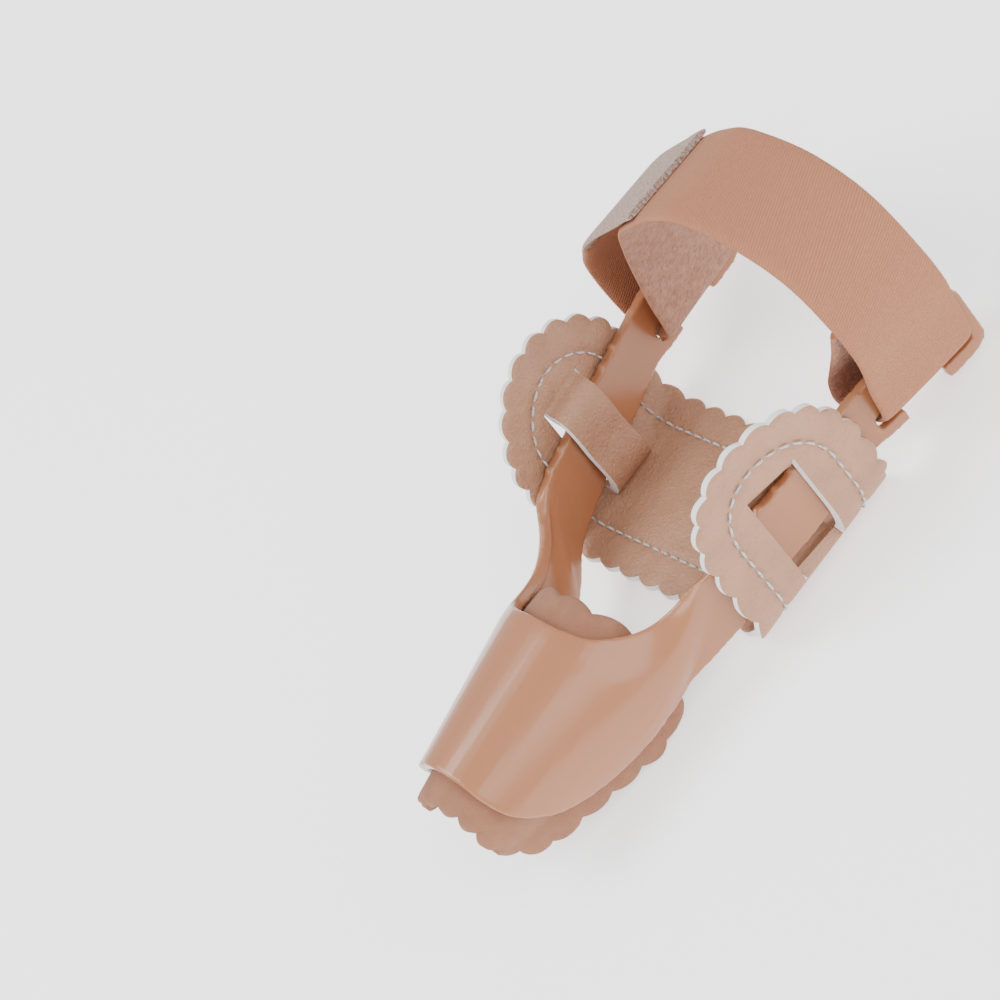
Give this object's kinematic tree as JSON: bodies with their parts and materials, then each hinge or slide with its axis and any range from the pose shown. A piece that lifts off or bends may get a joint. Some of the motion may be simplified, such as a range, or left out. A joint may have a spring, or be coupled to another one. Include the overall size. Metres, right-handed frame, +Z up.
{
  "type": "bunion corrector splint",
  "caption": "Big-toe splint with a glossy moulded fork, a scalloped toe liner, a scalloped leather wrap pad with slits for the arms, and a wide elastic strap with a hook tab.",
  "frame": {"origin": "middle of the bounding box, on the surface the splint lies on", "axes": "+X across the foot, +Y from the toe to the heel along the fork, +Z up out of the surface"},
  "size_m": [0.1024, 0.1548, 0.0697],
  "materials": {
    "moulded_plastic": "gloss",
    "imitation_leather": "satin",
    "liner_foam": "matte",
    "elastic_webbing": "matte",
    "hook_tape": "matte"
  },
  "bodies": {
    "root": {"splint_frame": "moulded_plastic", "toe_liner": "liner_foam", "wrap_pad": "imitation_leather", "elastic_strap": "elastic_webbing", "fastening_tab": "hook_tape"}
  },
  "joints": []
}
